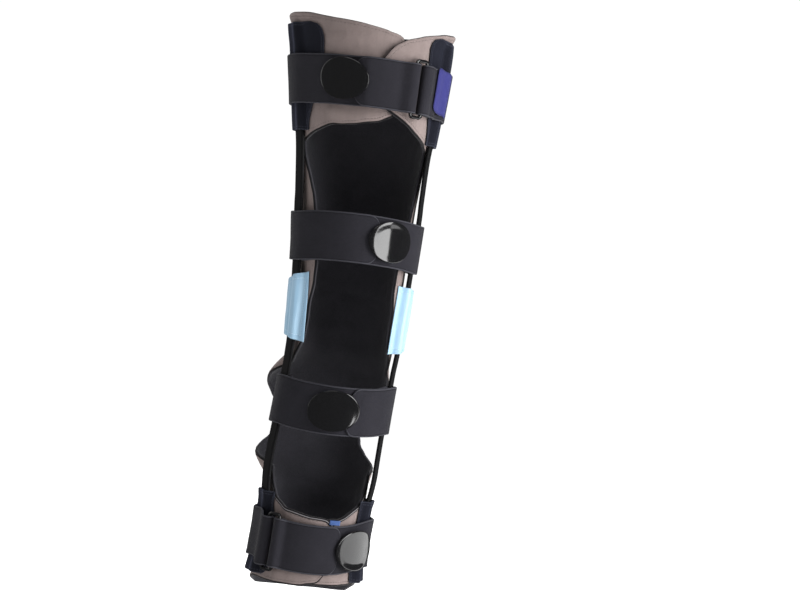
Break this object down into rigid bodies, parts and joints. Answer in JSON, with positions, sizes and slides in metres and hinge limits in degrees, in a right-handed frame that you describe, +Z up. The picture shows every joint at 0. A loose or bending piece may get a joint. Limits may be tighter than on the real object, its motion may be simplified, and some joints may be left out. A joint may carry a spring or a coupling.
{
  "type": "knee immobilizer",
  "caption": "Open-front knee immobilizer: padded wrap panel, flat side stays, light knee sleeves and fold-back straps closed by oval tabs.",
  "frame": {"origin": "middle of the knee inside the brace, on the axis of the leg", "axes": "+Z up the thigh, -Y to the front, +X to the inner side of the leg"},
  "size_m": [0.1768, 0.188, 0.5971],
  "materials": {
    "panel_cloth": "soft brushed cloth over foam",
    "stay_metal": "satin black",
    "pad_cloth": "matt loop cloth",
    "sleeve_cloth": "smooth satin",
    "strap_cloth": "matt brushed strap",
    "fastener_plastic": "glossy black",
    "label_cloth": "woven"
  },
  "bodies": {
    "root": {"wrap_panel": "panel_cloth", "medial_stay": "stay_metal", "lateral_stay": "stay_metal", "medial_thigh_pad": "pad_cloth", "lateral_thigh_pad": "pad_cloth", "medial_calf_pad": "pad_cloth", "lateral_calf_pad": "pad_cloth", "medial_knee_sleeve": "sleeve_cloth", "lateral_knee_sleeve": "sleeve_cloth", "thigh_strap": "strap_cloth", "thigh_loop_webbing": "strap_cloth", "thigh_loop": "fastener_plastic", "thigh_tab": "fastener_plastic", "upper_knee_strap": "strap_cloth", "upper_knee_tab": "fastener_plastic", "lower_knee_strap": "strap_cloth", "lower_knee_tab": "fastener_plastic", "calf_strap": "strap_cloth", "calf_loop_webbing": "strap_cloth", "calf_loop": "fastener_plastic", "calf_tab": "fastener_plastic", "side_label": "label_cloth", "calf_label": "label_cloth"}
  },
  "joints": []
}
